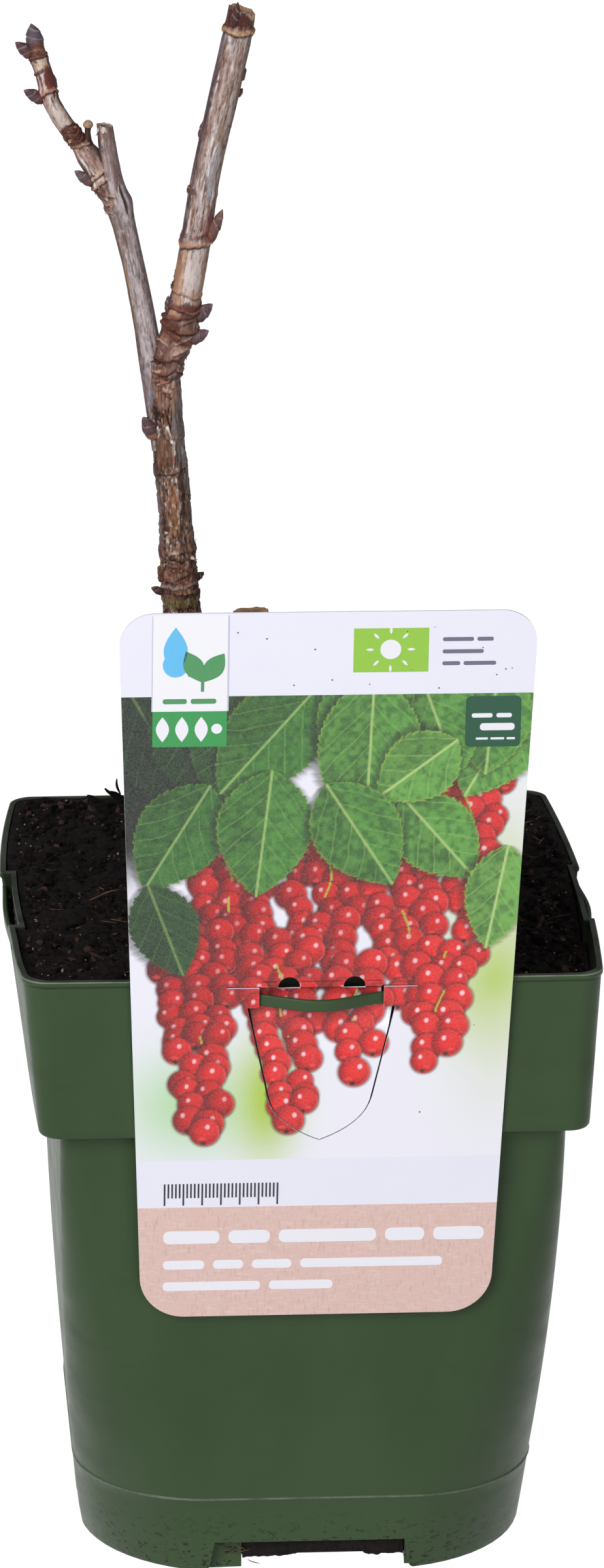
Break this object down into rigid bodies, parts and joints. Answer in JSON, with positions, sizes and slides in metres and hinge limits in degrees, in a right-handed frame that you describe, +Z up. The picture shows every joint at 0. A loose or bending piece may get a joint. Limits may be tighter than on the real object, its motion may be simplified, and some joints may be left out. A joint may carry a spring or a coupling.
{
  "type": "potted redcurrant bush",
  "caption": "Leafless cut-back redcurrant cane, forked above a square green pot of peat, with a printed plant card hooked on the front rim.",
  "frame": {"origin": "on the ground under the middle of the whole object's bounding box", "axes": "+Z up, the card's face and the pot's front towards -Y, +X to the right seen from the front"},
  "size_m": [0.1598, 0.1622, 0.4235],
  "materials": {
    "pot": "satin moulded dark green",
    "soil": "moist fibrous dark peat",
    "card": "smooth printed plastic card",
    "bark": "rough grey-brown bark",
    "shoot": "young peeling bark with buds"
  },
  "bodies": {
    "root": {"pot": "pot", "soil": "soil", "label_card": "card", "stem": "bark", "left_limb": "bark", "right_limb": "bark", "low_limb": "bark", "tip_shoot": "shoot"}
  },
  "joints": []
}
